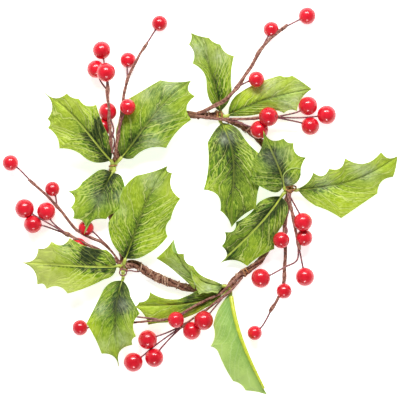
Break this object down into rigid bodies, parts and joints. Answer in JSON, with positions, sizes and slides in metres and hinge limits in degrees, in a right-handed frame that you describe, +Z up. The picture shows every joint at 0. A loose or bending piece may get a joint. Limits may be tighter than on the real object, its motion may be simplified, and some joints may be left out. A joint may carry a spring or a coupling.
{
  "type": "holly wreath",
  "caption": "Holly wreath or candle ring: picks of spiny leaves and red berry sprays wired into a twisted twig ring with an open middle, lying flat.",
  "frame": {"origin": "on the surface that the wreath lies on, below the middle of its outline", "axes": "+Z up, away from the surface; +X to the right and +Y away from the viewer, seen from above"},
  "size_m": [0.2631, 0.2581, 0.0215],
  "materials": {
    "leaf": "satin",
    "underside": "matt",
    "berry": "gloss",
    "twig": "matt",
    "collar": "satin",
    "wire": "painted"
  },
  "bodies": {
    "root": {"leaf_top_1": "leaf", "leaf_top_2": "leaf", "leaf_top_3": "leaf", "leaf_right_1": "leaf", "leaf_right_2": "leaf", "leaf_right_3": "leaf", "leaf_bottom_1": "leaf", "leaf_bottom_2": "leaf", "leaf_bottom_3": "underside", "leaf_left_1": "leaf", "leaf_left_2": "leaf", "leaf_left_3": "leaf", "leaf_upper_1": "leaf", "leaf_upper_2": "leaf", "leaf_upper_3": "leaf", "spray_top_small": "berry", "spray_top_large": "berry", "spray_right_small": "berry", "spray_right_large": "berry", "spray_bottom_small": "berry", "spray_bottom_large": "berry", "spray_left_small": "berry", "spray_left_large": "berry", "spray_upper_small": "berry", "spray_upper_large": "berry", "twig_top": "twig", "twig_right": "twig", "twig_bottom": "twig", "twig_left": "twig", "twig_upper": "twig", "collar_top": "collar", "collar_right": "collar", "collar_bottom": "collar", "collar_left": "collar", "collar_upper": "collar", "hook_wire": "wire"}
  },
  "joints": []
}
